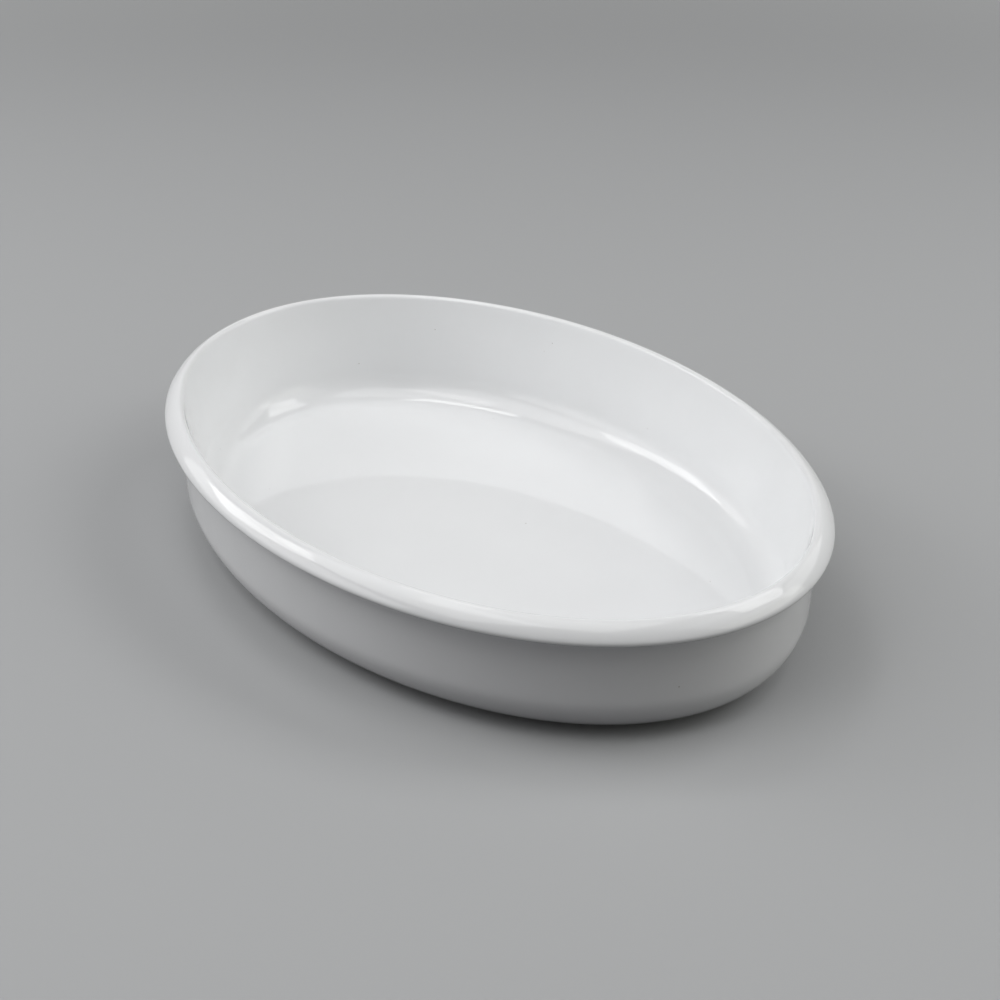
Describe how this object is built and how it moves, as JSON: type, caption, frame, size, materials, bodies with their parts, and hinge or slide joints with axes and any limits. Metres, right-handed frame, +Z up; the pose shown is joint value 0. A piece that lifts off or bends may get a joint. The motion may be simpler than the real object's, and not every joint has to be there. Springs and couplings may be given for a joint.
{
  "type": "gratin dish",
  "caption": "Shallow oval ceramic baking dish with steep walls, a rolled rim, a flat floor and a bare foot ring, glazed white.",
  "frame": {"origin": "middle of the footprint, on the plane that the foot ring stands on", "axes": "+X along the dish's long axis, +Y across it, +Z up out of the open top"},
  "size_m": [0.3, 0.21, 0.052],
  "materials": {
    "fired_clay": "bare fired clay, wiped clean of glaze",
    "white_glaze": "glossy white glaze"
  },
  "bodies": {
    "root": {"ceramic_body": "fired_clay", "glaze_coat": "white_glaze", "underside_glaze": "white_glaze"}
  },
  "joints": []
}
